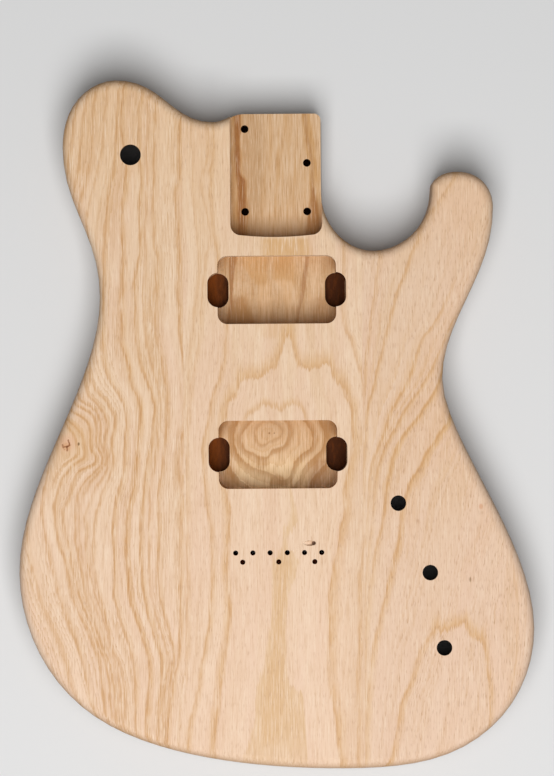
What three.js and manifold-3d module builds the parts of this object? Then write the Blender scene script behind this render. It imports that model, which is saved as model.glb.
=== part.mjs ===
// Bare electric guitar body for a bolt-on neck: an edge-glued ash blank of three boards, routed from
// the front for the neck and two humbucking pickups, and from the back for the controls and switch.
// Millimetres. x runs across the body toward the treble side, y along the strings toward the neck,
// and z up out of the front face. The origin is on the back face, on the centre line, under the end
// wall of the neck pocket.
import * as THREE from 'three';
import { mergeVertices } from 'three/addons/utils/BufferGeometryUtils.js';
import Module from 'manifold-3d';

const wasm = await Module();
wasm.setup();

// Blank
const bodyLength = 421.8;
const bodyWidth = 314.6;
const bodyThickness = 44.45;
const edgeRoundover = 6.35;

// Neck pocket and heel
const pocketLength = 76.2;
const pocketWidth = 56;
const pocketDepth = 15.9;
const pocketCornerRadius = 6.5;
const pocketEndBow = 1.2;
const heelTrebleEdge = 27.6;
const heelTrebleLength = 50;
const heelCornerRadius = 4;
const heelBassEdge = 20;
const heelContourDepth = 9;
const heelContourMargin = 1.5;

// Neck screws
const neckScrewSpacingAcross = 38.1;
const neckScrewSpacingAlong = 50.8;
const neckScrewSetback = 16.2;
const neckScrewShift = 21;
const neckScrewHoleDiameter = 4.8;
const neckScrewRecessDiameter = 14.5;
const neckScrewRecessDepth = 3;

// Pickup routs
const pickupRoutWidth = 72.4;
const pickupRoutHeight = 41.6;
const pickupRoutDepth = 19;
const pickupRoutCornerRadius = 6;
const pickupEarSpacing = 72;
const pickupEarWidth = 12.7;
const pickupEarHeight = 21;
const pickupEarDepth = 27;
const neckPickupSetback = 32.1;
const bridgePickupSetback = 132.7;

// Bridge
const stringCount = 6;
const stringSpacing = 10.5;
const stringRowSetback = 192.6;
const stringHoleDiameter = 3.2;
const ferruleBoreDiameter = 8;
const ferruleBoreDepth = 9.5;
const bridgeScrewCount = 3;
const bridgeScrewSpacing = 22;
const bridgeScrewSetback = 198.2;
const bridgeScrewHoleDiameter = 3.2;
const bridgeScrewHoleDepth = 19;
const groundWireHoleDiameter = 3.3;
const groundWireOffset = 18.8;
const groundWireSetback = 186.9;
const groundWireSlope = THREE.MathUtils.degToRad(25.4);

// Controls, switch and jack
const frontWall = 4.8;
const potHoleDiameter = 9.5;
const controlCavityRadius = 17;
const switchHoleDiameter = 12.7;
const switchCavityRadius = 18.5;
const coverLedge = 7;
const coverThickness = 2.3;
const coverSetback = 0.3;
const coverClearance = 0.4;
const jackBoreDiameter = 22.2;
const jackBoreReach = 75;
const jackBoreTurn = THREE.MathUtils.degToRad(-17);
const wiringBoreDiameter = 9.5;
const wiringBoreDepth = 13;
const wiringBoreOverlap = 4;

// Cover screws
const screwLength = 12.7;
const screwShankDiameter = 2.9;
const screwHeadDiameter = 5.6;
const screwHeadHeight = 1.7;
const screwHeadCrown = 0.25;
const screwPointLength = 3;
const screwSlotWidth = 0.8;
const screwSlotLength = 3.2;
const screwSlotDepth = 1;
const screwClearance = 0.3;
const screwTipRoom = 2;

// Fineness of the curves
const outlineStep = 11;
const outlineTurn = THREE.MathUtils.degToRad(8);
const roundoverSteps = 4;
const facetLength = 1.1;
const fewestHalfSides = 9;
const mostHalfSides = 28;
const headingSamples = 40;
const arcSegments = 6;
const cutOverrun = 5;
const insetTolerance = 0.03;

// Places of the two glue lines, as shares of the body's width from the origin
const bassSeamShare = -0.1821;
const trebleSeamShare = 0.1647;

// Places of the controls, as shares of the body's width and length from the origin
const potPlaceShares = [
  [0.2327, -0.3862],
  [0.2937, -0.487],
  [0.3201, -0.596],
];
const cavityInnerCornerShares = [0.242, -0.56];
const switchPlaceShares = [-0.2819, 0.1204];

// The outline runs clockwise from the cutaway to the heel. Each landmark has its place as shares of
// the body's width and length, its heading in degrees, and the lengths of its arriving and leaving
// handles as shares of the straight distance to its neighbour.
const outlineLandmarkShares = [
  { name: 'cutaway floor', place: [0.1888, -0.0204], heading: 0, arrive: 0.37, leave: 0.31 },
  { name: 'horn inner edge', place: [0.3026, 0.0711], heading: 90, arrive: 0.46, leave: 0.5 },
  { name: 'horn hook', place: [0.309, 0.082], heading: 45, arrive: 0.2, leave: 0.42 },
  { name: 'treble horn tip', place: [0.3516, 0.0934], heading: 0, arrive: 0.22, leave: 0.42 },
  { name: 'treble horn side', place: [0.4215, 0.0413], heading: -90, arrive: 0.42, leave: 0.38 },
  { name: 'treble waist', place: [0.3207, -0.2063], heading: -90, arrive: 0.33, leave: 0.22 },
  { name: 'treble bout', place: [0.4957, -0.5688], heading: -90, arrive: 0.33, leave: 0.34 },
  { name: 'treble corner', place: [0.4116, -0.7119], heading: -138, arrive: 0.36, leave: 0.34 },
  { name: 'bottom', place: [0.1268, -0.7705], heading: 180, arrive: 0.4, leave: 0.3 },
  { name: 'bass corner', place: [-0.3589, -0.6932], heading: 145.5, arrive: 0.3, leave: 0.38 },
  { name: 'bass bout', place: [-0.5043, -0.4834], heading: 90, arrive: 0.32, leave: 0.32 },
  { name: 'bass waist', place: [-0.3439, -0.0837], heading: 90, arrive: 0.31, leave: 0.41 },
  { name: 'bass horn side', place: [-0.4142, 0.1316], heading: 90, arrive: 0.39, leave: 0.6 },
  { name: 'bass horn tip', place: [-0.3109, 0.2295], heading: 0, arrive: 0.21, leave: 0.45 },
  { name: 'bass valley', place: [-0.1227, 0.1679], heading: 0, arrive: 0.39, leave: 0.4 },
];
const heelSideLeaveShare = 0.38;
const heelTopArriveShare = 0.35;

// Places worked out from the sizes above
const frontFace = bodyThickness;
const pocketFloor = bodyThickness - pocketDepth;
const pickupFloor = bodyThickness - pickupRoutDepth;
const cavityRoof = bodyThickness - frontWall;
const wiringHeight = bodyThickness - wiringBoreDepth;
const coverSeat = coverSetback + coverThickness;
const coverEdge = coverLedge - coverClearance;

const up = new THREE.Vector3(0, 0, 1);

const ash = new THREE.MeshStandardMaterial({ color: 0xdcb993, roughness: 0.75, metalness: 0 });
const blackPlastic = new THREE.MeshStandardMaterial({ color: 0x151515, roughness: 0.45, metalness: 0 });
const screwSteel = new THREE.MeshStandardMaterial({ color: 0x8d9093, roughness: 0.35, metalness: 1 });

function place([acrossShare, alongShare]) {
  return new THREE.Vector2(acrossShare * bodyWidth, alongShare * bodyLength);
}

function sides(radius) {
  const wanted = Math.round((Math.PI * radius) / facetLength);
  return 2 * THREE.MathUtils.clamp(wanted, fewestHalfSides, mostHalfSides);
}

// Solids from three.js geometry, and back

function toSolid(geometry) {
  const bare = geometry.clone();
  bare.deleteAttribute('normal');
  bare.deleteAttribute('uv');
  const merged = mergeVertices(bare);
  const mesh = new wasm.Mesh({
    numProp: 3,
    vertProperties: new Float32Array(merged.attributes.position.array),
    triVerts: new Uint32Array(merged.index.array),
  });
  return new wasm.Manifold(mesh);
}

function toGeometry(solid) {
  const { vertProperties, triVerts } = solid.getMesh();
  const geometry = new THREE.BufferGeometry();
  geometry.setAttribute('position', new THREE.BufferAttribute(vertProperties, 3));
  geometry.setIndex(new THREE.BufferAttribute(triVerts, 1));
  const faceted = geometry.toNonIndexed();
  faceted.computeVertexNormals();
  return faceted;
}

function prism(shape, low, high) {
  const settings = { depth: high - low, bevelEnabled: false, curveSegments: arcSegments };
  return toSolid(new THREE.ExtrudeGeometry(shape, settings).translate(0, 0, low));
}

function drill(centre, diameter, low, high) {
  const radius = diameter / 2;
  const geometry = new THREE.CylinderGeometry(radius, radius, high - low, sides(radius));
  geometry.rotateX(Math.PI / 2);
  return toSolid(geometry.translate(centre.x, centre.y, (low + high) / 2));
}

function bore(start, end, diameter) {
  const radius = diameter / 2;
  const direction = end.clone().sub(start);
  const geometry = new THREE.CylinderGeometry(radius, radius, direction.length(), sides(radius));
  const turn = new THREE.Quaternion().setFromUnitVectors(new THREE.Vector3(0, 1, 0), direction.normalize());
  geometry.applyQuaternion(turn);
  const middle = start.clone().add(end).multiplyScalar(1 / 2);
  return toSolid(geometry.translate(middle.x, middle.y, middle.z));
}

function slab(lowX, highX) {
  const geometry = new THREE.BoxGeometry(highX - lowX, 2 * bodyLength, 2 * bodyThickness);
  return toSolid(geometry.translate((lowX + highX) / 2, 0, bodyThickness / 2));
}

// Outlines

function roundedRectangle(centre, width, height, radius) {
  const right = width / 2 - radius;
  const top = height / 2 - radius;
  const shape = new THREE.Shape();
  shape.absarc(centre.x + right, centre.y + top, radius, 0, Math.PI / 2);
  shape.absarc(centre.x - right, centre.y + top, radius, Math.PI / 2, Math.PI);
  shape.absarc(centre.x - right, centre.y - top, radius, Math.PI, 1.5 * Math.PI);
  shape.absarc(centre.x + right, centre.y - top, radius, 1.5 * Math.PI, 2 * Math.PI);
  shape.closePath();
  return shape;
}

// A counterclockwise convex polygon grown by a radius, with round corners.
function grownPolygon(corners, radius) {
  const shape = new THREE.Shape();
  corners.forEach((corner, index) => {
    const before = corners[(index + corners.length - 1) % corners.length];
    const after = corners[(index + 1) % corners.length];
    const startAngle = corner.clone().sub(before).angle() - Math.PI / 2;
    const endAngle = after.clone().sub(corner).angle() - Math.PI / 2;
    shape.absarc(corner.x, corner.y, radius, startAngle, endAngle);
  });
  shape.closePath();
  return shape;
}

function headingVector(degrees) {
  const angle = THREE.MathUtils.degToRad(degrees);
  return new THREE.Vector2(Math.cos(angle), Math.sin(angle));
}

function bodyPath() {
  const heelSide = {
    point: new THREE.Vector2(heelTrebleEdge, pocketLength - heelTrebleLength),
    heading: -90,
    leave: heelSideLeaveShare,
  };
  const heelTop = {
    point: new THREE.Vector2(-heelBassEdge, pocketLength),
    heading: 0,
    arrive: heelTopArriveShare,
  };
  const landmarks = outlineLandmarkShares.map((mark) => ({ ...mark, point: place(mark.place) }));
  const stops = [heelSide, ...landmarks, heelTop];
  const path = new THREE.Path();
  path.moveTo(heelSide.point.x, heelSide.point.y);
  for (let index = 1; index < stops.length; index += 1) {
    const from = stops[index - 1];
    const to = stops[index];
    const chord = from.point.distanceTo(to.point);
    const first = headingVector(from.heading).multiplyScalar(from.leave * chord).add(from.point);
    const second = headingVector(to.heading).multiplyScalar(-to.arrive * chord).add(to.point);
    path.bezierCurveTo(first.x, first.y, second.x, second.y, to.point.x, to.point.y);
  }
  const cornerX = heelTrebleEdge - heelCornerRadius;
  const cornerY = pocketLength - heelCornerRadius;
  path.absarc(cornerX, cornerY, heelCornerRadius, Math.PI / 2, 0, true);
  path.closePath();
  return path;
}

// Points along the outline, closer where it turns faster, counterclockwise seen from the front.
function bodyOutline() {
  const points = [];
  for (const curve of bodyPath().curves) {
    let turn = 0;
    const headings = curve.getSpacedPoints(headingSamples).map((point, index, all) => {
      const next = all[Math.min(index + 1, all.length - 1)];
      const last = all[Math.max(index - 1, 0)];
      return next.clone().sub(last).angle();
    });
    for (let index = 1; index < headings.length; index += 1) {
      const change = headings[index] - headings[index - 1];
      turn += Math.abs(Math.atan2(Math.sin(change), Math.cos(change)));
    }
    const pieces = Math.max(Math.ceil(turn / outlineTurn), Math.ceil(curve.getLength() / outlineStep));
    points.push(...curve.getSpacedPoints(curve.isLineCurve ? 1 : pieces).slice(1));
  }
  return points.reverse();
}

// The blank's edge is rounded all round, front and back

function inwardNormals(points) {
  return points.map((point, index) => {
    const before = points[(index + points.length - 1) % points.length];
    const after = points[(index + 1) % points.length];
    const along = after.clone().sub(before).normalize();
    return new THREE.Vector2(-along.y, along.x);
  });
}

function distanceToOutline(point, outline) {
  let least = Infinity;
  outline.forEach((start, index) => {
    const end = outline[(index + 1) % outline.length];
    const side = end.clone().sub(start);
    const share = THREE.MathUtils.clamp(point.clone().sub(start).dot(side) / side.lengthSq(), 0, 1);
    least = Math.min(least, start.clone().addScaledVector(side, share).distanceTo(point));
  });
  return least;
}

// One ring of the rounded edge: the outline moved inward, without the points that a corner tighter
// than the roundover would fold over.
function insetRing(outline, normals, inset, height) {
  const ring = [];
  outline.forEach((point, index) => {
    const moved = point.clone().addScaledVector(normals[index], inset);
    if (inset === 0 || distanceToOutline(moved, outline) > inset - insetTolerance) {
      ring.push({ index, point: new THREE.Vector3(moved.x, moved.y, height) });
    }
  });
  return ring;
}

// Triangles between two rings whose points keep the order of the same outline.
function stitch(lower, upper, count) {
  const triangles = [];
  const ahead = (ring, step) => (step < ring.length ? ring[step].index : ring[0].index + count);
  let low = 0;
  let high = 0;
  while (low < lower.length || high < upper.length) {
    const lowNow = lower[low % lower.length];
    const highNow = upper[high % upper.length];
    const lowAhead = low < lower.length ? ahead(lower, low + 1) : Infinity;
    const highAhead = high < upper.length ? ahead(upper, high + 1) : Infinity;
    const lowNext = lower[(low + 1) % lower.length];
    const highNext = upper[(high + 1) % upper.length];
    if (lowAhead <= highAhead) {
      triangles.push([lowNow, lowNext, lowAhead === highAhead ? highNext : highNow]);
    }
    if (highAhead <= lowAhead) {
      triangles.push([lowNow, highNext, highNow]);
    }
    low += lowAhead <= highAhead ? 1 : 0;
    high += highAhead <= lowAhead ? 1 : 0;
  }
  return triangles;
}

function roundedBlank() {
  const outline = bodyOutline();
  const normals = inwardNormals(outline);
  const rings = [];
  for (let step = roundoverSteps; step >= 0; step -= 1) {
    const angle = (step / roundoverSteps) * (Math.PI / 2);
    const inset = step === 0 ? 0 : edgeRoundover * (1 - Math.cos(angle));
    rings.push(insetRing(outline, normals, inset, edgeRoundover * (1 - Math.sin(angle))));
  }
  const back = [...rings];
  for (const ring of back.reverse()) {
    rings.push(ring.map(({ index, point }) => {
      const mirrored = new THREE.Vector3(point.x, point.y, bodyThickness - point.z);
      return { index, point: mirrored };
    }));
  }
  const corners = [];
  for (let level = 1; level < rings.length; level += 1) {
    for (const triangle of stitch(rings[level - 1], rings[level], outline.length)) {
      corners.push(...triangle.map((corner) => corner.point));
    }
  }
  const cap = (ring) => {
    const flat = ring.map(({ point }) => new THREE.Vector2(point.x, point.y));
    return THREE.ShapeUtils.triangulateShape(flat, []);
  };
  const top = rings[rings.length - 1];
  for (const [first, second, third] of cap(top)) {
    corners.push(top[first].point, top[second].point, top[third].point);
  }
  for (const [first, second, third] of cap(rings[0])) {
    corners.push(rings[0][third].point, rings[0][second].point, rings[0][first].point);
  }
  return toSolid(new THREE.BufferGeometry().setFromPoints(corners));
}

// Neck joint

function neckScrewPlaces() {
  const half = neckScrewSpacingAcross / 2;
  const far = neckScrewSetback + neckScrewSpacingAlong;
  return [
    new THREE.Vector2(-half, neckScrewSetback),
    new THREE.Vector2(half, neckScrewSetback),
    new THREE.Vector2(-half, far),
    new THREE.Vector2(half, far - neckScrewShift),
  ];
}

function neckPocket() {
  const half = pocketWidth / 2;
  const radius = pocketCornerRadius;
  const mouth = pocketLength + cutOverrun;
  const shape = new THREE.Shape();
  shape.moveTo(half, mouth);
  shape.lineTo(-half, mouth);
  shape.absarc(-half + radius, radius + pocketEndBow, radius, Math.PI, 1.5 * Math.PI);
  shape.quadraticCurveTo(0, -pocketEndBow, half - radius, pocketEndBow);
  shape.absarc(half - radius, radius + pocketEndBow, radius, 1.5 * Math.PI, 2 * Math.PI);
  shape.closePath();
  return prism(shape, pocketFloor, frontFace + cutOverrun);
}

function neckScrewHoles() {
  return neckScrewPlaces().flatMap((centre) => [
    drill(centre, neckScrewHoleDiameter, 0, bodyThickness),
    drill(centre, neckScrewRecessDiameter, -cutOverrun, neckScrewRecessDepth),
  ]);
}

// The back of the heel is rounded away at its treble corner, beyond the line of the two far screws.
function heelContour() {
  const [, , farBass, farTreble] = neckScrewPlaces();
  const along = farTreble.clone().sub(farBass).normalize();
  const outward = new THREE.Vector2(-along.y, along.x);
  const start = outward.dot(farBass) + neckScrewRecessDiameter / 2 + heelContourMargin;
  const corner = outward.dot(new THREE.Vector2(heelTrebleEdge, pocketLength));
  const reach = corner - start;
  const radius = (reach * reach + heelContourDepth * heelContourDepth) / (2 * heelContourDepth);
  const sweep = Math.asin(reach / radius);
  const shape = new THREE.Shape();
  shape.moveTo(start, -cutOverrun);
  shape.lineTo(corner, -cutOverrun);
  shape.absarc(start, radius, radius, sweep - Math.PI / 2, -Math.PI / 2, true);
  shape.closePath();
  const width = 2 * pocketWidth;
  const settings = { depth: width, bevelEnabled: false, curveSegments: 2 * arcSegments };
  const geometry = new THREE.ExtrudeGeometry(shape, settings).translate(0, 0, -width / 2);
  const across = new THREE.Vector3(outward.x, outward.y, 0);
  const beside = across.clone().cross(up);
  const middle = beside.clone().multiplyScalar(beside.dot(new THREE.Vector3(0, pocketLength / 2, 0)));
  geometry.applyMatrix4(new THREE.Matrix4().makeBasis(across, up, beside));
  return toSolid(geometry.translate(middle.x, middle.y, 0));
}

// Pickups

function pickupRout(setback) {
  const centre = new THREE.Vector2(0, -setback);
  const top = frontFace + cutOverrun;
  const rout = roundedRectangle(centre, pickupRoutWidth, pickupRoutHeight, pickupRoutCornerRadius);
  const cuts = [prism(rout, pickupFloor, top)];
  for (const side of [-1, 1]) {
    const middle = new THREE.Vector2((side * pickupEarSpacing) / 2, -setback);
    const ear = roundedRectangle(middle, pickupEarWidth, pickupEarHeight, pickupEarWidth / 2);
    cuts.push(prism(ear, bodyThickness - pickupEarDepth, top));
  }
  return cuts;
}

// Bridge

function bridgeHoles() {
  const cuts = [];
  const over = bodyThickness + cutOverrun;
  for (let string = 0; string < stringCount; string += 1) {
    const across = (string - (stringCount - 1) / 2) * stringSpacing;
    const centre = new THREE.Vector2(across, -stringRowSetback);
    cuts.push(drill(centre, stringHoleDiameter, 0, over));
    cuts.push(drill(centre, ferruleBoreDiameter, -cutOverrun, ferruleBoreDepth));
  }
  for (let screw = 0; screw < bridgeScrewCount; screw += 1) {
    const across = (screw - (bridgeScrewCount - 1) / 2) * bridgeScrewSpacing;
    const centre = new THREE.Vector2(across, -bridgeScrewSetback);
    cuts.push(drill(centre, bridgeScrewHoleDiameter, bodyThickness - bridgeScrewHoleDepth, over));
  }
  return cuts;
}

// The ground wire runs on a slant from under the bridge into the control cavity.
function groundWireHole() {
  const mouth = new THREE.Vector3(groundWireOffset, -groundWireSetback, bodyThickness);
  const slope = new THREE.Vector3(Math.cos(groundWireSlope), 0, -Math.sin(groundWireSlope));
  const reach = (controlCorners()[0].x - groundWireOffset) / slope.x;
  const start = mouth.clone().addScaledVector(slope, -2 * cutOverrun);
  return bore(start, mouth.clone().addScaledVector(slope, reach), groundWireHoleDiameter);
}

// Controls and switch

function potPlaces() {
  return potPlaceShares.map(place);
}

function controlCorners() {
  const [first, second, third] = potPlaces();
  return [place(cavityInnerCornerShares), third, second, first];
}

function controlOutline(grow) {
  return grownPolygon(controlCorners(), controlCavityRadius + grow);
}

function switchOutline(grow) {
  const centre = place(switchPlaceShares);
  const shape = new THREE.Shape();
  shape.absarc(centre.x, centre.y, switchCavityRadius + grow, 0, 2 * Math.PI);
  return shape;
}

function cavityCuts(outlineFor) {
  return [prism(outlineFor(0), 0, cavityRoof), prism(outlineFor(coverLedge), -cutOverrun, coverSeat)];
}

function controlHoles() {
  const over = frontFace + cutOverrun;
  const pots = potPlaces().map((centre) => drill(centre, potHoleDiameter, cavityRoof - frontWall, over));
  return [...pots, drill(place(switchPlaceShares), switchHoleDiameter, cavityRoof - frontWall, over)];
}

function jackBore() {
  const last = potPlaces()[potPlaceShares.length - 1];
  const start = new THREE.Vector3(last.x, last.y, bodyThickness / 2);
  const direction = new THREE.Vector3(Math.cos(jackBoreTurn), Math.sin(jackBoreTurn), 0);
  return bore(start, start.clone().addScaledVector(direction, jackBoreReach), jackBoreDiameter);
}

function wiringBores() {
  const at = (x, y) => new THREE.Vector3(x, y, wiringHeight);
  const routEdge = pickupRoutWidth / 2 - wiringBoreOverlap;
  const toggle = place(switchPlaceShares);
  const firstPot = potPlaces()[0];
  const neckY = -neckPickupSetback;
  const bridgeY = -bridgePickupSetback;
  return [
    bore(at(-routEdge, neckY), at(toggle.x, toggle.y), wiringBoreDiameter),
    bore(at(0, neckY), at(0, bridgeY), wiringBoreDiameter),
    bore(at(routEdge, bridgeY), at(firstPot.x, firstPot.y), wiringBoreDiameter),
  ];
}

// Cover screws sit halfway across the ledge

function middleOf(first, second) {
  return first.clone().add(second).multiplyScalar(1 / 2);
}

function controlScrewPlaces() {
  const corners = controlCorners();
  const centre = corners.reduce((sum, corner) => sum.add(corner), new THREE.Vector2());
  centre.divideScalar(corners.length);
  const reach = controlCavityRadius + coverLedge / 2;
  const [inner, third, second, first] = corners;
  const atCorners = [first, third, inner].map((corner) => {
    const outward = corner.clone().sub(centre).normalize();
    return corner.clone().addScaledVector(outward, reach);
  });
  const atSides = [[third, second], [second, first]].map(([start, end]) => {
    const along = end.clone().sub(start).normalize();
    const outward = new THREE.Vector2(along.y, -along.x);
    return middleOf(start, end).addScaledVector(outward, reach);
  });
  return [...atCorners, ...atSides];
}

function switchScrewPlaces() {
  const centre = place(switchPlaceShares);
  const reach = switchCavityRadius + coverLedge / 2;
  return [90, 210, 330].map((degrees) => headingVector(degrees).multiplyScalar(reach).add(centre));
}

function screwPilots(places) {
  const diameter = screwShankDiameter + 2 * screwClearance;
  const depth = coverSetback + screwLength + screwTipRoom;
  return places.map((centre) => drill(centre, diameter, 0, depth));
}

function coverScrewCuts(places) {
  const wide = screwHeadDiameter / 2 + screwClearance;
  const narrow = screwShankDiameter / 2 + screwClearance;
  const low = coverSetback - screwClearance;
  const high = coverSetback + screwHeadHeight + screwClearance;
  const cone = new THREE.CylinderGeometry(narrow, wide, high - low, sides(wide));
  cone.rotateX(Math.PI / 2);
  return places.flatMap((centre) => [
    toSolid(cone.clone().translate(centre.x, centre.y, (low + high) / 2)),
    drill(centre, 2 * narrow, 0, coverSeat + cutOverrun),
  ]);
}

function cover(outlineFor, places) {
  const plate = prism(outlineFor(coverEdge), coverSetback, coverSeat);
  return coverScrewCuts(places).reduce((solid, cut) => solid.subtract(cut), plate);
}

// A countersunk wood screw, head down, with a cross recess.
function coverScrew() {
  const head = screwHeadDiameter / 2;
  const shank = screwShankDiameter / 2;
  const profile = [
    new THREE.Vector2(0, -screwHeadCrown),
    new THREE.Vector2(head / 2, -screwHeadCrown),
    new THREE.Vector2(head, 0),
    new THREE.Vector2(shank, screwHeadHeight),
    new THREE.Vector2(shank, screwLength - screwPointLength),
    new THREE.Vector2(0, screwLength),
  ];
  const geometry = new THREE.LatheGeometry(profile, sides(head));
  let screw = toSolid(geometry.rotateX(Math.PI / 2));
  const depth = 2 * screwSlotDepth;
  for (const [width, length] of [[screwSlotWidth, screwSlotLength], [screwSlotLength, screwSlotWidth]]) {
    screw = screw.subtract(toSolid(new THREE.BoxGeometry(width, length, depth)));
  }
  return toGeometry(screw);
}

// Assembly

function named(name, geometry, material) {
  const mesh = new THREE.Mesh(geometry, material);
  mesh.name = name;
  return mesh;
}

function boards() {
  const cuts = [
    neckPocket(),
    ...neckScrewHoles(),
    heelContour(),
    ...pickupRout(neckPickupSetback),
    ...pickupRout(bridgePickupSetback),
    ...bridgeHoles(),
    groundWireHole(),
    ...cavityCuts(controlOutline),
    ...cavityCuts(switchOutline),
    ...controlHoles(),
    jackBore(),
    ...wiringBores(),
    ...screwPilots(controlScrewPlaces()),
    ...screwPilots(switchScrewPlaces()),
  ];
  const routed = cuts.reduce((solid, cut) => solid.subtract(cut), roundedBlank());
  const bassSeam = bassSeamShare * bodyWidth;
  const trebleSeam = trebleSeamShare * bodyWidth;
  const strips = {
    bass_side_board: slab(-bodyWidth, bassSeam),
    centre_board: slab(bassSeam, trebleSeam),
    treble_side_board: slab(trebleSeam, bodyWidth),
  };
  return Object.entries(strips).map(([name, strip]) => (
    named(name, toGeometry(routed.intersect(strip)), ash)
  ));
}

function screws(name, places) {
  return places.map((centre, index) => {
    const screw = named(`${name}_${index + 1}`, coverScrew(), screwSteel);
    screw.position.set(centre.x, centre.y, coverSetback);
    return screw;
  });
}

const body = new THREE.Group();
body.add(...boards());
const controlPlate = cover(controlOutline, controlScrewPlaces());
const switchPlate = cover(switchOutline, switchScrewPlaces());
body.add(named('control_cavity_cover', toGeometry(controlPlate), blackPlastic));
body.add(named('switch_cavity_cover', toGeometry(switchPlate), blackPlastic));
body.add(...screws('control_cover_screw', controlScrewPlaces()));
body.add(...screws('switch_cover_screw', switchScrewPlaces()));

export default body;
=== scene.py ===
"""Bare ash electric guitar body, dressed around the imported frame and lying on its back."""
import math
from collections import namedtuple

import bmesh
import bpy
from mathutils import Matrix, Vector

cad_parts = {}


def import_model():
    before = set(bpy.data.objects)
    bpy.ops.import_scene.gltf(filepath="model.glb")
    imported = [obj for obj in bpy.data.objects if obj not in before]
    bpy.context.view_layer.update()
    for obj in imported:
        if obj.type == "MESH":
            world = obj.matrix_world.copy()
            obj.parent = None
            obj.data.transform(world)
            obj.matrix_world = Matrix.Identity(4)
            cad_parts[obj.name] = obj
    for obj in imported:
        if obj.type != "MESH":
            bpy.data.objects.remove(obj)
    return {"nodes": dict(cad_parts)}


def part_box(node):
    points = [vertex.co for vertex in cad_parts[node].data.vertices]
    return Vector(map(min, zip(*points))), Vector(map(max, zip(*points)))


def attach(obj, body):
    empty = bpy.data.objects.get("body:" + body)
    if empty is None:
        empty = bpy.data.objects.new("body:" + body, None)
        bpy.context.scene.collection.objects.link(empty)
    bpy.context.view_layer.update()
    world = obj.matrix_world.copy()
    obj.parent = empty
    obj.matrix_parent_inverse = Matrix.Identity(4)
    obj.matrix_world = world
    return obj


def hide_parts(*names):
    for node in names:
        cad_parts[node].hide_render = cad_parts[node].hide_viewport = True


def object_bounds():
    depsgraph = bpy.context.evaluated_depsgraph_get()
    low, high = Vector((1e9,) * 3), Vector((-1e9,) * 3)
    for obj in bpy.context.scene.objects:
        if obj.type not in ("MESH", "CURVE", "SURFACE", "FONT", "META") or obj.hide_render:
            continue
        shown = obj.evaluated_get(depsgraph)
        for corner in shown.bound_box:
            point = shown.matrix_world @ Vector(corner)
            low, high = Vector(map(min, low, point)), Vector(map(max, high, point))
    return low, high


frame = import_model()
cad_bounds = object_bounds()

MM = 0.001

# How the photograph's rows and columns lie on the body's front face.
PHOTO_ROWS = 776
STEP_MM = 0.61
MIDDLE_COLUMN = 277.5
MIDDLE_ROW = 388.0
MIDDLE_Y_MM = -92.1
PHOTO_TURN = 0.00746
FACE_Z_MM = cad_bounds[1][2] / MM

BASS_SEAM_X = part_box("centre_board")[0][0]
TREBLE_SEAM_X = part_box("centre_board")[1][0]


# Fields and colours, which build shader nodes

class Field:
    """A number that varies over a surface; arithmetic on it adds Math nodes."""

    def __init__(self, tree, socket):
        self.tree = tree
        self.socket = socket

    def math(self, operation, *others):
        node = self.tree.nodes.new("ShaderNodeMath")
        node.operation = operation
        for slot, value in zip(node.inputs, (self,) + others):
            feed(slot, value)
        return Field(self.tree, node.outputs[0])

    def __add__(self, other):
        return self.math("ADD", other)

    def __sub__(self, other):
        return self.math("SUBTRACT", other)

    def __mul__(self, other):
        return self.math("MULTIPLY", other)

    def __truediv__(self, other):
        return self.math("DIVIDE", other)

    def __pow__(self, other):
        return self.math("POWER", other)

    def __neg__(self):
        return self * -1.0

    def part(self):
        return self.math("FRACT")

    def size(self):
        return self.math("ABSOLUTE")

    def root(self):
        return self.math("SQRT")

    def most(self, other):
        return self.math("MAXIMUM", other)

    def least(self, other):
        return self.math("MINIMUM", other)

    def rest(self):
        """1 where this is 0, and 0 where it is 1."""
        return self * -1.0 + 1.0

    def between(self, start, end):
        """0 at start and before, rising smoothly to 1 at end and after; start may be the larger."""
        node = self.tree.nodes.new("ShaderNodeMapRange")
        node.interpolation_type = "SMOOTHSTEP"
        node.clamp = True
        feed(node.inputs["Value"], self)
        node.inputs["From Min"].default_value = start
        node.inputs["From Max"].default_value = end
        return Field(self.tree, node.outputs["Result"])

    def near(self, middle, start, end):
        """As between, of the distance from the middle."""
        return (self - middle).size().between(start, end)

    def along(self, points, low, high, out_low, out_high):
        """The smooth curve through points (in, out), read at this field."""
        node = self.tree.nodes.new("ShaderNodeFloatCurve")
        places = [((a - low) / (high - low), (b - out_low) / (out_high - out_low)) for a, b in points]
        curve = node.mapping.curves[0]
        while len(curve.points) < len(places):
            curve.points.new(0.5, 0.5)
        for point, place in zip(curve.points, sorted(places)):
            point.location = place
            point.handle_type = "AUTO_CLAMPED"
        node.mapping.use_clip = False
        node.mapping.update()
        feed(node.inputs["Value"], (self - low) / (high - low))
        return Field(self.tree, node.outputs["Value"]) * (out_high - out_low) + out_low


def feed(slot, value):
    if isinstance(value, Field):
        value.tree.links.new(value.socket, slot)
    else:
        slot.default_value = value


def stronger(so_far, field):
    """The larger of two fields at each place; the first may still be missing."""
    return field if so_far is None else so_far.most(field)


def noise(a, b, c, detail=2.0, roughness=0.5):
    """Smooth noise around 0.5, read at three fields or numbers."""
    tree = next(v for v in (a, b, c) if isinstance(v, Field)).tree
    place = tree.nodes.new("ShaderNodeCombineXYZ")
    for slot, value in zip(place.inputs, (a, b, c)):
        feed(slot, value)
    node = tree.nodes.new("ShaderNodeTexNoise")
    node.inputs["Scale"].default_value = 1.0
    node.inputs["Detail"].default_value = detail
    node.inputs["Roughness"].default_value = roughness
    tree.links.new(place.outputs[0], node.inputs["Vector"])
    return Field(tree, node.outputs[0])


# Sockets of the Mix node that mix colours
MIX_SHARE = 0
MIX_FROM = 6
MIX_TO = 7
MIX_RESULT = 2


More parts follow.
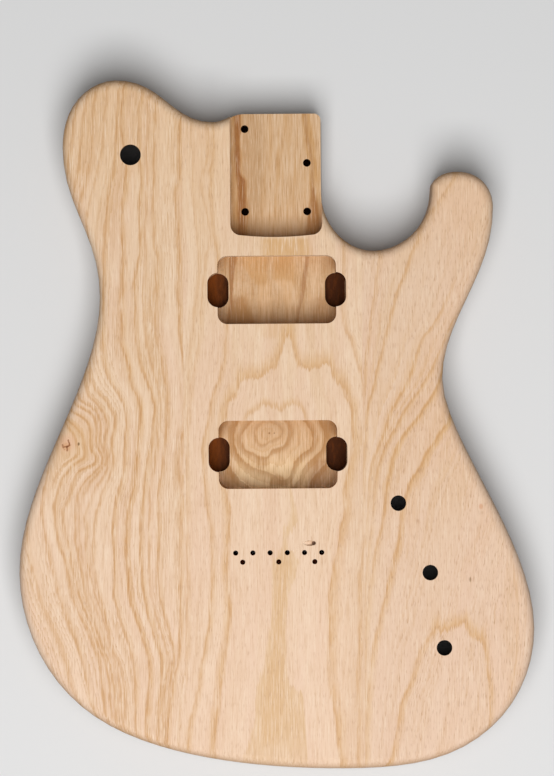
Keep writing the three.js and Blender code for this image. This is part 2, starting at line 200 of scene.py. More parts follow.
class Colour:
    """A colour that varies over a surface."""

    def __init__(self, tree, socket):
        self.tree = tree
        self.socket = socket

    @staticmethod
    def plain(tree, value):
        node = tree.nodes.new("ShaderNodeRGB")
        node.outputs[0].default_value = (*linear(value), 1.0)
        return Colour(tree, node.outputs[0])

    def toward(self, other, share):
        """This colour mixed with the share, a field or number, of the other."""
        node = self.tree.nodes.new("ShaderNodeMix")
        node.data_type = "RGBA"
        node.clamp_factor = True
        feed(node.inputs[MIX_SHARE], share)
        self.tree.links.new(self.socket, node.inputs[MIX_FROM])
        if isinstance(other, Colour):
            self.tree.links.new(other.socket, node.inputs[MIX_TO])
        else:
            node.inputs[MIX_TO].default_value = (*linear(other), 1.0)
        return Colour(self.tree, node.outputs[MIX_RESULT])


def linear(value):
    """Linear colour from display values of 0 to 255."""
    shares = [v / 255 for v in value]
    return tuple(s / 12.92 if s <= 0.04045 else ((s + 0.055) / 1.055) ** 2.4 for s in shares)


def material(name):
    made = bpy.data.materials.new(name)
    made.use_nodes = True
    tree = made.node_tree
    return made, tree, tree.nodes["Principled BSDF"]


def object_place(tree):
    """Fields of the object's own x, y and z in millimetres, and its normal's three parts."""
    source = tree.nodes.new("ShaderNodeTexCoord")
    split = tree.nodes.new("ShaderNodeSeparateXYZ")
    tree.links.new(source.outputs["Object"], split.inputs[0])
    turn = tree.nodes.new("ShaderNodeSeparateXYZ")
    tree.links.new(source.outputs["Normal"], turn.inputs[0])
    place = [Field(tree, s) * (1 / MM) for s in split.outputs]
    normal = [Field(tree, s) for s in turn.outputs]
    return place, normal


def bump(tree, shader, height, strength, distance):
    node = tree.nodes.new("ShaderNodeBump")
    node.inputs["Strength"].default_value = strength
    node.inputs["Distance"].default_value = distance
    feed(node.inputs["Height"], height)
    tree.links.new(node.outputs[0], shader.inputs["Normal"])


# Wood. Each grain line: strength, first and last row, reach to left and right, then (row, column) places.
# First and last rows of 0 and 800 lie past the body. A strength of 0 only guides the rings beside it.
PAST_START = 0
PAST_END = 800

BASS_LINES = [
    (0.5, 530, 800, 2.8, 6.0, [(400, -20), (480, 15), (520, 24), (550, 27.5), (575, 34), (600, 40),
     (617, 47.5), (640, 57.5), (660, 65), (680, 70), (697, 75), (720, 80)]),
    (0.6, 470, 800, 2.8, 5.2, [(400, 20), (450, 44), (465, 47), (478, 46.5), (490, 43.5), (508, 42),
     (521, 42.5), (540, 45.8), (558, 49), (575, 53), (600, 60), (625, 69), (647, 77.5), (670, 84),
     (697, 90), (720, 95)]),
    (0.6, 408, 480, 2.6, 4.5, [(60, 50), (300, 10), (405, 42), (415, 53), (422, 62), (428, 69), (435, 73.5),
     (442, 76), (450, 78), (456, 76.5), (460, 71), (464, 65), (469, 60), (475, 56.5), (482, 54), (490, 51),
     (498, 50), (520, 48.5), (560, 57), (600, 66.5), (640, 82), (697, 96), (720, 100)]),
    (0.65, 0, 800, 3.4, 5.2, [(60, 62), (115, 55), (200, 38), (300, 20), (360, 32), (400, 50), (418, 62),
     (424, 72), (429, 77.5), (434, 81), (439, 83), (446, 83.5), (452, 85.5), (457, 85), (461, 80),
     (465, 74), (469, 70), (474, 66.5), (479, 62), (485, 60), (492, 57.5), (498, 56), (507, 54.6),
     (520, 54.6), (533, 56), (542, 58), (550, 60.8), (558, 64), (575, 68), (600, 73.5), (620, 82),
     (640, 91), (660, 99), (697, 103), (720, 106)]),
    (0.7, 0, 800, 3.4, 5.2, [(60, 71), (115, 65), (150, 60), (200, 48), (300, 30), (360, 42), (400, 62),
     (410, 68), (414, 76), (418, 83), (422, 87), (428, 89.7), (435, 90.2), (442, 90.3), (449, 92),
     (455, 95.2), (460, 96.5), (464, 94), (467, 88), (470, 81), (473, 77.5), (478, 75.2), (483, 73),
     (490, 71.7), (497, 69.5), (504, 66), (513, 63), (521, 63), (530, 65), (538, 66.7), (546, 68),
     (558, 70.5), (575, 75), (600, 80.5), (620, 89), (645, 98), (665, 106), (697, 110), (720, 112)]),
    (0.6, 0, 800, 3.2, 4.5, [(60, 80), (115, 74), (150, 70), (200, 58), (300, 40), (360, 52), (390, 65),
     (400, 70), (406, 77), (409, 84), (413, 90), (418, 94), (425, 96.7), (432, 97), (439, 96.6),
     (447, 97.5), (453, 101), (459, 102.6), (464, 101.5), (468, 98.5), (472, 94.5), (476, 90.5),
     (480, 86.5), (485, 82.5), (490, 79.5), (497, 77.5), (510, 76.7), (525, 75), (540, 75), (548, 77),
     (558, 78.5), (575, 81.5), (600, 86.5), (620, 94), (645, 102), (665, 109.5), (697, 113.5),
     (720, 115.5)]),
    (0.5, 0, 800, 3.0, 4.0, [(60, 90), (115, 84), (150, 80), (180, 76), (200, 68), (300, 50), (360, 62),
     (385, 72), (396, 76), (401, 81), (405, 88), (411, 95), (417, 98.5), (423, 100.4), (430, 100.8),
     (437, 100.4), (443, 101), (450, 104), (458, 105.5), (464, 105), (469, 101.5), (473, 98.5), (477, 95),
     (483, 90), (490, 86.7), (497, 83), (504, 81.5), (513, 80), (523, 79.6), (540, 79.3), (554, 81.5),
     (575, 86), (600, 92), (620, 99), (645, 106), (665, 113), (697, 117), (720, 119)]),
    (0.6, 0, 800, 3.2, 4.5, [(60, 98), (115, 93), (150, 91), (175, 87), (200, 80), (250, 66), (300, 62),
     (350, 72), (380, 83), (392, 87), (398, 91), (403, 96), (409, 100), (416, 104.6), (423, 107),
     (430, 106.7), (437, 105), (443, 104.8), (450, 106.7), (458, 108), (466, 108), (472, 106),
     (478, 102.5), (483, 99), (489, 95), (497, 91.7), (503, 90), (511, 87), (518, 85), (525, 85.8),
     (546, 86), (558, 87), (580, 91), (600, 97), (620, 103.5), (640, 109.5), (665, 116.5), (697, 120.5),
     (720, 122.5)]),
    (0.65, 0, 800, 3.2, 5.2, [(60, 108), (115, 105), (157, 100), (180, 95), (200, 90), (250, 82), (300, 80),
     (350, 84), (370, 88), (380, 91), (387, 95), (394, 100), (400, 105.5), (407, 109.5), (413, 112.5),
     (422, 114.6), (430, 114.2), (440, 112), (449, 111.7), (457, 113), (466, 112.5), (472, 111),
     (480, 108), (488, 104), (495, 101.7), (502, 100), (508, 97.5), (520, 95.4), (533, 94.2), (546, 94),
     (558, 93.8), (575, 95), (595, 99), (612, 104), (647, 112), (665, 120), (697, 124.5), (740, 128)]),
    (0.75, 0, 800, 2.6, 6.8, [(60, 118), (115, 117), (157, 114.5), (172, 113), (192, 109), (212, 107),
     (232, 105), (262, 104), (300, 102), (340, 101.5), (357, 102.5), (372, 106), (385, 112.5), (397, 120),
     (410, 125), (425, 126), (445, 125), (465, 124), (482, 121), (500, 116), (517, 114), (535, 112.5),
     (555, 114), (595, 114), (610, 117.5), (627, 122.5), (645, 129), (662, 132.5), (680, 134.5),
     (697, 135), (745, 136)]),
    (1.0, 0, 800, 3.2, 7.5, [(60, 124), (99, 122.5), (120, 121), (150, 124), (172, 126), (185, 124),
     (205, 122), (225, 121), (255, 122.5), (287, 122.5), (300, 121), (340, 121), (355, 125), (370, 129),
     (385, 131.5), (397, 137.5), (415, 140), (432, 139), (450, 137.5), (480, 135), (497, 131), (510, 128),
     (530, 126), (575, 127.5), (597, 129.5), (612, 134), (630, 140), (647, 145), (665, 149), (682, 149),
     (700, 147.5), (745, 146)]),
    (0.8, 0, 800, 2.8, 6.0, [(60, 142), (97, 141), (120, 138), (150, 139), (182, 141), (200, 139.5),
     (247, 140), (265, 137.5), (282, 134.5), (300, 134), (320, 135), (335, 136), (350, 137.5), (365, 141),
     (382, 147.5), (397, 152), (410, 154), (425, 152.5), (445, 151), (460, 147.5), (472, 145.5),
     (492, 144), (510, 141), (575, 141.5), (595, 144), (612, 147.5), (630, 152.5), (647, 157.5),
     (665, 162), (680, 161), (697, 159.5), (750, 157)]),
    (0.5, 0, 800, 2.4, 4.5, [(60, 149), (140, 147.5), (180, 146), (235, 145), (275, 144.5), (292, 143),
     (312, 144), (330, 145), (350, 147.5), (362, 151), (387, 157.5), (400, 160), (425, 158), (445, 157),
     (460, 155), (480, 152), (500, 150), (540, 149), (575, 149), (595, 151), (612, 155), (630, 160),
     (647, 165), (660, 168.5), (680, 166), (697, 164), (750, 161)]),
    (0.7, 0, 800, 2.8, 5.2, [(60, 158), (110, 156), (160, 154), (200, 153), (225, 154), (245, 155),
     (260, 157.5), (280, 156), (300, 154.5), (320, 155), (340, 157), (357, 161), (380, 165), (407, 167),
     (430, 166), (460, 163), (500, 158.5), (575, 158), (590, 159), (612, 163), (635, 169), (652, 173.5),
     (665, 173), (690, 169), (750, 164)]),
    (0.8, 0, 800, 3.2, 6.0, [(60, 182), (110, 181), (150, 179), (175, 179), (192, 176), (205, 175),
     (225, 177.5), (245, 179), (287, 177.5), (310, 179), (330, 179), (345, 181), (360, 184), (390, 186),
     (412, 187.5), (425, 185), (442, 181), (462, 179), (500, 181), (540, 180), (580, 180), (632, 180),
     (650, 178.5), (665, 177), (690, 172), (750, 166)]),
]

CENTRE_LINES = [
    (0.35, 0, 470, 2.8, 6.0, [(118, 191), (160, 192), (200, 193), (240, 196.5), (267, 198.5), (285, 197),
     (305, 195), (330, 192), (355, 190), (380, 187), (405, 184), (425, 182), (460, 180), (760, 172)]),
    (0.5, 0, 690, 2.8, 6.0, [(118, 206), (144, 208), (158, 207), (170, 204), (180, 201), (198, 203),
     (210, 206), (226, 209), (242, 210), (255, 206), (272, 204), (312, 201), (340, 199), (360, 196),
     (380, 192), (400, 190), (420, 188), (480, 187), (585, 187), (640, 186), (760, 178)]),
    (0.78, 0, 800, 3.2, 6.8, [(118, 213), (156, 213), (174, 210.5), (202, 211), (230, 214), (260, 218),
     (300, 222), (327, 226), (342, 225), (357, 224), (370, 221), (380, 219), (390, 214.5), (405, 211),
     (420, 209), (450, 203), (480, 204), (510, 207.5), (527, 210), (562, 212), (597, 211), (620, 210),
     (640, 206), (655, 204), (667, 201), (687, 199), (705, 195), (720, 191), (760, 186)]),
    (0.95, 405, 800, 9.0, 4.0, [(118, 228), (250, 232), (330, 236), (385, 236), (405, 227), (420, 225),
     (450, 222), (480, 224), (495, 226), (512, 229), (545, 228), (562, 226.5), (585, 228), (610, 230),
     (630, 229), (650, 226), (670, 222.5), (692, 220), (710, 217.5), (730, 215), (760, 214.5)]),
    (0.0, 0, 1, 2.0, 1.5, [(118, 277), (760, 277)]),
    (0.9, 400, 800, 3.0, 13.0, [(118, 328), (330, 330), (395, 345), (405, 351), (420, 352), (440, 354),
     (450, 353), (475, 348), (495, 345), (512, 345), (527, 341), (545, 339), (562, 335), (580, 332),
     (597, 329.5), (640, 330), (677, 329), (692, 331), (710, 335), (730, 337), (760, 341)]),
    (0.6, 0, 800, 3.2, 6.0, [(118, 340), (267, 343), (305, 342), (317, 343.5), (330, 346), (337, 350),
     (350, 354), (360, 357), (375, 361.5), (390, 364.5), (420, 367), (500, 367), (530, 365), (550, 364),
     (570, 360), (590, 359), (630, 360), (655, 359), (680, 357.5), (705, 358.5), (760, 359)]),
]

TREBLE_LINES = [
    (0.5, 0, 385, 2.6, 5.2, [(200, 392), (255, 381), (272, 377), (290, 375), (310, 371.5), (335, 369),
     (360, 366), (400, 363.5), (480, 361), (760, 350)]),
    (0.75, 0, 800, 2.6, 4.5, [(200, 440), (232, 420), (240, 418), (252, 412), (267, 407), (275, 404),
     (287, 399), (302, 394), (315, 391), (330, 387.5), (345, 383), (360, 380), (372, 376.5), (387, 374),
     (397, 370.5), (412, 367), (430, 365.5), (480, 364), (600, 357), (760, 352)]),
    (0.75, 300, 800, 2.6, 4.5, [(180, 500), (230, 475), (280, 455), (322, 435), (340, 422), (355, 417),
     (370, 412), (385, 406), (400, 398), (412, 391), (430, 385), (445, 379), (460, 373.5), (477, 370),
     (497, 369), (522, 366.5), (540, 365), (555, 362.5), (640, 360), (760, 357)]),
    (0.7, 320, 800, 2.6, 5.2, [(180, 510), (280, 470), (330, 450), (360, 436), (375, 428), (387, 421),
     (400, 412), (412, 404), (425, 397.5), (437, 390), (455, 382.5), (472, 377), (492, 374.5), (530, 371),
     (560, 368), (640, 363.5), (760, 359)]),
    (0.85, 335, 800, 3.0, 6.0, [(180, 520), (300, 470), (350, 452), (380, 441), (397, 432), (407, 425),
     (417, 419), (430, 408), (440, 401), (452, 395), (467, 391), (487, 387), (510, 384.5), (530, 381),
     (545, 377), (562, 374), (585, 371), (615, 367.5), (635, 366), (700, 365), (760, 362)]),
    (0.9, 390, 800, 3.2, 7.5, [(180, 540), (350, 480), (400, 462), (425, 447), (432, 441), (442, 435),
     (452, 427), (465, 421), (472, 417), (482, 410.5), (492, 407), (510, 402.5), (522, 400.5), (540, 399),
     (555, 395.5), (570, 392), (592, 387), (610, 382.5), (625, 379), (640, 375.5), (665, 371), (690, 369),
     (705, 367.5), (760, 365)]),
    (0.9, 628, 800, 3.6, 7.5, [(180, 560), (400, 500), (480, 470), (560, 450), (600, 442), (627, 435),
     (637, 429), (650, 421.5), (665, 416), (680, 411.5), (702, 402.5), (717, 400), (737, 396),
     (760, 391)]),
    (0.85, 642, 800, 3.6, 6.0, [(180, 575), (500, 520), (600, 490), (635, 484.5), (647, 486), (665, 487.5),
     (685, 490), (710, 491), (760, 489)]),
    (0.35, 545, 700, 2.4, 4.5, [(180, 590), (540, 525), (555, 512), (580, 515), (605, 517), (630, 517),
     (660, 515), (685, 512), (720, 508)]),
]

# Arches where the growth rings meet the face: strength, reach above and below, then (column, row) places.
CENTRE_ARCHES = [
    (0.9, 20.0, 2.2, [(226, 404), (230, 400), (235, 396), (239, 384), (243, 380), (250, 378), (258, 378),
     (264, 374), (270, 368), (275, 366), (278, 358), (282, 347), (286, 336), (289, 334), (292, 342),
     (295, 355), (298, 364), (304, 368), (312, 368), (318, 367), (324, 364), (330, 365), (333, 374),
     (337, 381), (342, 385), (347, 393), (351, 404)]),
    (0.7, 8.0, 3.0, [(246, 417), (250, 414), (255, 409), (260, 406), (265, 403), (272, 406), (280, 408),
     (287, 405), (293, 403), (299, 405), (303, 410), (306, 417)]),
]
TREBLE_ARCHES = [
    (0.9, 17.0, 4.0, [(433, 632), (436, 628), (441, 631), (446, 630), (452, 627), (458, 625), (465, 623),
     (469, 630), (473, 635), (479, 639), (483, 641), (485, 645)]),
]

ROW_RANGE = (60, 780)
COLUMN_RANGE = (-40, 600)
LINE_WIDTH = 1.9
LINE_FLAT = 0.2
FADE_OUTSIDE = 30
FADE_INSIDE = 8
TURN_STEP = 1.5
TURN_SHARE = 0.44
ARCH_ROWS = (300, 680)
ARCH_LINE_WIDTH = 4.0
ARCH_LINE_FLAT = 0.6
ARCH_CORE_SHARE = 0.6
ARCH_FADE_OUTSIDE = 6
ARCH_FADE_INSIDE = 2
PATCH_COLUMNS = (150, 400)
PATCH_FADE = 3

# Growth rings on the bridge rout's floor, round a knot: as the lines, with (angle, radius) places.
RINGS_CENTRE = (271, 433)
RINGS_ANGLES = (-180, 180)
RINGS_RADII = (0, 100)
ROUT_RINGS = [
    (0.5, -400, 800, 2.5, 3.5, [(-180, 16.8), (-141, 14.2), (-100, 11.2), (-51, 10.6), (-10, 11.2),
     (22, 10.4), (60, 8.5), (96, 8.5), (112, 13.5), (137, 16.7), (161, 17), (180, 16.8)]),
    (0.75, -400, 800, 2.0, 8.0, [(-180, 29), (-166, 25), (-154, 23.5), (-120, 20), (-90, 17), (-50, 18),
     (-24, 18.6), (4, 18.4), (33, 18.4), (64, 18), (84, 17), (97, 24), (104, 26), (130, 28), (153, 31.5),
     (170, 31), (180, 29)]),
    (0.95, -400, 800, 1.5, 9.0, [(-180, 37), (-150, 34), (-120, 28), (-90, 26), (-50, 30), (-17, 36), (5, 42),
     (15, 43), (44, 37.5), (60, 43), (73, 50), (85, 44), (100, 40), (120, 40), (147, 40), (180, 37)]),
    (0.9, -400, 800, 1.5, 11.0, [(-180, 50), (-150, 48), (-90, 40), (-50, 44), (-17, 49), (10, 54.5),
     (42, 48.5), (61, 56), (85, 64), (120, 58), (147, 53), (180, 50)]),
    (0.8, -400, 800, 1.5, 9.0, [(-180, 66), (-90, 56), (-17, 62), (10, 67), (42, 62), (61, 70), (120, 72),
     (180, 66)]),
]


def grain_lines(column, row, lines, shake=None, row_range=ROW_RANGE, column_range=COLUMN_RANGE):
    """How far the strong lines' glow and core cover a place, and its place across the grain."""
    dark = None
    core = None
    across = None
    for strength, first, last, left, right, places in lines:
        here = column - row.along(places, *row_range, *column_range)
        if strength:
            away = here
            if shake:
                # Away is measured square to a slanting line, whose run over a few rows is turn.
                turn = (row + TURN_STEP).along(places, *row_range, *column_range) + here - column
                away = (here + shake) / (turn * turn * TURN_SHARE + 1.0).root()
            shown = strength
            if first > PAST_START:
                shown = row.between(first - FADE_OUTSIDE, first + FADE_INSIDE) * shown
            if last < PAST_END:
                shown = row.between(last + FADE_OUTSIDE, last - FADE_INSIDE) * shown
            glow = away.between(-left, 0.0) * away.between(right, 0.0) * shown
            line = away.between(-LINE_WIDTH, -LINE_FLAT) * away.between(LINE_WIDTH, LINE_FLAT) * shown
            dark = stronger(dark, glow)
            core = stronger(core, line)
        middle = sum(c for _, c in places) / len(places)
        if across is None:
            across = here.least(0.0) + middle
        else:
            share = (before / (before - here)).most(0.0).least(1.0)
            across = across + share * (middle - before_middle)
        before = here
        before_middle = middle
    return dark, core, across + before.most(0.0)


def arch_lines(column, row, arches):
    """The glow and core of the arches, as grain_lines gives them."""
    dark = None
    core = None
    for strength, above, below, places in arches:
        low, high = places[0][0], places[-1][0]
        spread = (low - 1.0, high + 1.0, *ARCH_ROWS)
        here = row - column.along(places, *spread)
        lean = (column + 1.0).along(places, *spread) - (column - 1.0).along(places, *spread)
        away = here / (lean * lean * 0.25 + 1.0).root()
        shown = column.between(low - ARCH_FADE_OUTSIDE, low + ARCH_FADE_INSIDE)
        shown = shown * column.between(high + ARCH_FADE_OUTSIDE, high - ARCH_FADE_INSIDE) * strength
        under = away.between(below, 0.0)
        glow = (here * 0.5 + away * 0.5).between(-above, 0.0) * under * shown
        line = away.between(-ARCH_LINE_WIDTH, -ARCH_LINE_FLAT) * under * shown * ARCH_CORE_SHARE
        dark = stronger(dark, glow)
        core = stronger(core, line)
    return dark, core


def patch(column, row, left, right, soft):
    """1 between the left and right edges, given as (row, column) places, with soft sides."""
    rows = [place[0] for place in left + right]
    top, foot = min(rows), max(rows)
    spread = (top, foot + 1.0, *PATCH_COLUMNS)
    a = column - row.along(left, *spread)
    b = column - row.along(right, *spread)
    inside = a.between(-soft, soft) * b.between(soft, -soft)
    lower = row.between(foot + PATCH_FADE, foot - PATCH_FADE)
    return inside * row.between(top - PATCH_FADE, top + PATCH_FADE) * lower


def spot(column, row, centre_column, centre_row, radius, soft, squeeze=1.0):
    """1 inside a spot, fading to 0 at its rim. A squeeze under 1 makes it long along the grain."""
    a = column - centre_column
    b = row - centre_row
    if squeeze != 1.0:
        b = b * squeeze
    return (a * a + b * b).root().between(radius + soft, radius)


def stroke(column, row, start, end, width):
    """1 on the line from start to end, fading to 0 at the width."""
    run = (end[0] - start[0], end[1] - start[1])
    length = math.hypot(*run)
    a = column - start[0]
    b = row - start[1]
    along = ((a * run[0] + b * run[1]) * (1 / length ** 2)).most(0.0).least(1.0)
    a = a - along * run[0]
    b = b - along * run[1]
    return (a * a + b * b).root().between(width, width * 0.3)


WOOD_LIGHT = (237, 208, 178)
WOOD_TAN = (223, 187, 149)
WOOD_PINK = (229, 192, 164)
WOOD_ROSE = (240, 208, 184)
WOOD_UPPER = (229, 188, 143)
WOOD_CREAM = (246, 223, 197)
WOOD_GLOW = (217, 173, 122)
WOOD_RING = (209, 166, 120)
WOOD_LINE = (194, 140, 88)
WOOD_FIBRE = (208, 170, 132)
WOOD_PORE = (188, 146, 112)
WOOD_END = (196, 152, 110)
END_SHARE = 0.4
BORE_WALL_AND_SHADE = (58, 26, 12)
ROSE_ROWS = (250, 700)
UPPER_ROWS = (300, 110)

# A board's own look: noise seed, lean of its grain with depth, base colours, and how strongly it shows
# line cores, pores, rings, bands and fibres.
Look = namedtuple("Look", "seed lean light rose core pore ring band fibre")


class Wood:
    """A board's material while it is painted: where each point lies, and its colour so far."""

    def __init__(self, name):
        self.made, self.tree, self.shader = material(name)
        (x, y, self.z), self.normal = object_place(self.tree)
        upward = y - MIDDLE_Y_MM
        self.column = (x - upward * PHOTO_TURN) * (1 / STEP_MM) + MIDDLE_COLUMN
        self.row = -(upward + x * PHOTO_TURN) * (1 / STEP_MM) + MIDDLE_ROW
        self.depth = -(self.z - FACE_Z_MM)

    def paint(self, tint, share):
        self.colour = self.colour.toward(tint, share)

    def spot(self, *place):
        return spot(self.column, self.row, *place)

    def find_grain(self, lines, arches, look, clear):
        """Sets the lines' glow and core, the place across the grain, and the fibres' own pattern."""
        column, row, depth, seed = self.column, self.row, self.depth, look.seed
        wander = (noise(row * 0.03, column * 0.015, depth * 0.02 + seed) - 0.5) * 2.5
        # Fibres run straight along the board. Each carries its own piece of a line, a little before or
        # after its neighbours'.
        self.shift = noise(column * 0.75, row * 0.05, depth * 0.4 + seed + 2.0) - 0.5
        grain_column = column + wander + depth * look.lean
        dark, core, self.across = grain_lines(grain_column, row, lines, self.shift * 6.0)
        vary = noise(row * 0.035, self.across * 0.12, seed + 3.0).between(0.3, 0.62) * 0.5 + 0.5
        if clear:
            vary = vary.most(self.spot(*clear) * 1.25)
        self.dark = dark * vary
        self.core = core * vary
        if arches:
            arch, arch_core = arch_lines(column + wander, row + self.shift * 16.0, arches)
            near_face = depth.between(6.0, 1.0)
            self.dark = self.dark.most(arch * near_face)
            self.core = self.core.most(arch_core * near_face)
        self.fibre = noise(column * 0.85, row * 0.035, depth * 0.6 + seed, 3.0, 0.62)

    def find_rings(self, look):
        """Sets the growth rings, which follow the lines, and how far they sway."""
        across, row, seed = self.across, self.row, look.seed
        self.sway = noise(across * 0.06, row * 0.003, self.depth * 0.03 + seed + 12.0, 1.0)
        ring = ((across + self.shift * 5.0) * 0.24 + self.sway * 7.0).part() ** 2.0
        self.ring = ring * noise(across * 0.07, row * 0.007, seed + 17.0, 1.0).between(0.3, 0.62)

    def finish(self, end_share=END_SHARE):
        """Browner end grain, then colour, sheen and relief go to the shader."""
        self.paint(WOOD_END, self.normal[1].size().between(0.35, 0.9) * end_share)
        self.tree.links.new(self.colour.socket, self.shader.inputs["Base Color"])
        feed(self.shader.inputs["Roughness"], self.height * 0.12 + 0.66)
        self.shader.inputs["Specular IOR Level"].default_value = 0.12
        bump(self.tree, self.shader, self.height, 0.35, 0.0002)
        return self.made


def ash(name, lines, arches, look, extra=None, clear=None, broad=None):
    """Wood along the given lines. Extra paints what lies under the grain. Clear is a spot where the
    lines show best, broad one with wide rings."""
    wood = Wood(name)
    wood.find_grain(lines, arches, look, clear)
    wood.find_rings(look)
    row, across, fibre = wood.row, wood.across, wood.fibre
    bands = noise(across * 0.09, row * 0.004, look.seed + 11.0)
    hue = noise(across * 0.05, row * 0.006, look.seed + 9.0)
    pore = noise(wood.column * 0.95, row * 0.12, wood.depth * 0.9 + look.seed + 5.0, 1.0)
    wood.colour = Colour.plain(wood.tree, look.light)
    wood.paint(WOOD_TAN, bands.between(0.36, 0.7) * look.band)
    wood.paint(WOOD_PINK, hue.between(0.42, 0.64) * 0.5)
    wood.paint(look.rose, row.between(*ROSE_ROWS) * 0.55)
    wood.paint(WOOD_UPPER, row.between(*UPPER_ROWS) * 0.45)
    if extra:
        extra(wood)
    streaks = fibre.between(0.32, 0.62)
    if broad:
        wide = ((across + wood.shift * 6.0) * 0.115 + wood.sway * 4.0).part()
        wide = (wide ** 1.6) * wide.between(1.0, 0.9)
        wood.paint(WOOD_GLOW, wide * wood.spot(*broad) * (streaks * 0.4 + 0.5) * 0.75)
    wood.paint(WOOD_RING, wood.ring * (streaks * 0.5 + 0.5) * look.ring)
    wood.paint(WOOD_GLOW, wood.dark * 0.8)
    wood.paint(WOOD_LINE, wood.core * (streaks * 0.6 + 0.25) * look.core)
    wood.paint(WOOD_FIBRE, fibre.between(0.5, 0.72) * look.fibre)
    wood.paint(WOOD_CREAM, fibre.between(0.5, 0.3) * look.fibre)
    pores = pore.between(0.56, 0.72)
    wood.paint(WOOD_PORE, pores * (wood.dark * 0.25 + (wood.ring * 1.1 + 0.7) * look.pore))
    wood.height = fibre * 0.5 - wood.core * 0.5 - pores * 0.5
    return wood


def paint_bores(wood, holes, radius):
    """The drill's walls down the holes at these places, painted dark brown: their own burnished colour and
    painted shade.
    """
    walls = None
    for centre in holes:
        walls = stronger(walls, wood.spot(*centre, radius, 0.6))
    wood.paint(BORE_WALL_AND_SHADE, walls * wood.normal[2].size().between(0.6, 0.3))


# Bass side board. Spots: column, row, radius, softness of the rim, and a squeeze along the grain.
BASS_LOOK = Look(seed=1.0, lean=-0.9, light=WOOD_LIGHT, rose=WOOD_ROSE, core=1.0, pore=0.24, ring=0.8,
                 band=0.75, fibre=0.55)
BASS_CLEAR = (86, 440, 26, 46)
SWITCH_HOLE = (129.8, 154.6)
SWITCH_HOLE_RADIUS = 11.5
KNOT_GLOW_SPOT = (72, 440, 10, 26)
KNOT_BLUSH_SPOT = (67, 443, 2, 11)
KNOT_BLUSH = (228, 180, 148)
KNOT_STAIN = (208, 150, 98)
KNOT_CHECK = (140, 76, 20)
KNOT_DEEP = (104, 52, 12)
FLECK_SPOT = (78.7, 444, 0.5, 0.9, 0.6)
FLECK = (104, 70, 16)
KNOT_HEART = (66.9, 446.7)
CRACK_WIDTH = 1.15
# The check in the knot: strength, start and end.
KNOT_CRACKS = [
    (0.7, (62.5, 444.8), (62.9, 447.3)),
    (0.8, (62.9, 447.3), (65.2, 446.5)),
    (0.75, (65.2, 446.5), KNOT_HEART),
    (1.0, KNOT_HEART, (69.5, 445.4)),
    (1.0, (69.5, 445.4), (69.1, 443.0)),
    (0.85, (69.1, 443.0), (68.3, 440.2)),
    (0.8, KNOT_HEART, (67.2, 450.6)),
    (0.35, (62.9, 447.3), (64.2, 449.4)),
    (0.3, (69.5, 445.4), (70.6, 444.9)),
]


def bass_ash():
    wood = ash("ash_bass", BASS_LINES, None, BASS_LOOK, clear=BASS_CLEAR)
    column, row = wood.column, wood.row
    wood.paint(WOOD_GLOW, wood.spot(*KNOT_GLOW_SPOT) * 0.3)
    wood.paint(KNOT_BLUSH, wood.spot(*KNOT_BLUSH_SPOT) * 0.6)
    rough = (noise(column * 0.5, row * 0.5, 2.0, 3.0, 0.6) - 0.5) * 1.6
    cracks = None
    for strength, start, end in KNOT_CRACKS:
        crack = stroke(column + rough, row - rough, start, end, CRACK_WIDTH) * strength
        cracks = stronger(cracks, crack)
    wood.paint(KNOT_STAIN, wood.spot(*KNOT_HEART, 1.5, 4.5) * 0.45)
    wood.paint(KNOT_CHECK, cracks * 0.9)
    wood.paint(KNOT_DEEP, wood.spot(*KNOT_HEART, 0.4, 1.3) * 0.7)
    wood.paint(FLECK, wood.spot(*FLECK_SPOT) * 0.8)
    paint_bores(wood, [SWITCH_HOLE], SWITCH_HOLE_RADIUS)
    wood.height = wood.height - cracks * 3.0
    return wood.finish()


# Treble side board
TREBLE_LIGHT = (231, 200, 172)
TREBLE_ROSE = (233, 201, 178)
TREBLE_LOOK = Look(seed=3.0, lean=0.9, light=TREBLE_LIGHT, rose=TREBLE_ROSE, core=0.6, pore=0.45, ring=0.5,
                   band=0.5, fibre=0.42)
TREBLE_CLEAR = (395, 425, 50, 80)
TREBLE_BROAD = (405, 430, 28, 62, 0.6)
SEAM_GLOW_COLUMNS = (384, 366)
SEAM_GLOW_ROWS = (395, 440)
SEAM_GLOW_SHARE = 0.22
MINERAL_SPOT = (470.3, 579.5, 0.5, 0.9, 0.4)
MINERAL = (150, 118, 86)
RUST_SPOT = (481, 506.4, 1, 1.8, 0.7)
RUST = (205, 140, 96)
POT_HOLES = [(398.0, 503.0), (430.3, 572.6), (444.6, 647.7)]
POT_HOLE_RADIUS = 9.0


def treble_ash():
    wood = ash("ash_treble", TREBLE_LINES, TREBLE_ARCHES, TREBLE_LOOK, clear=TREBLE_CLEAR, broad=TREBLE_BROAD)
    seam = wood.column.between(*SEAM_GLOW_COLUMNS) * wood.row.between(*SEAM_GLOW_ROWS)
    wood.paint(WOOD_CREAM, seam * SEAM_GLOW_SHARE)
    wood.paint(MINERAL, wood.spot(*MINERAL_SPOT) * 0.75)
    wood.paint(RUST, wood.spot(*RUST_SPOT) * 0.5)
    paint_bores(wood, POT_HOLES, POT_HOLE_RADIUS)
    return wood.finish()


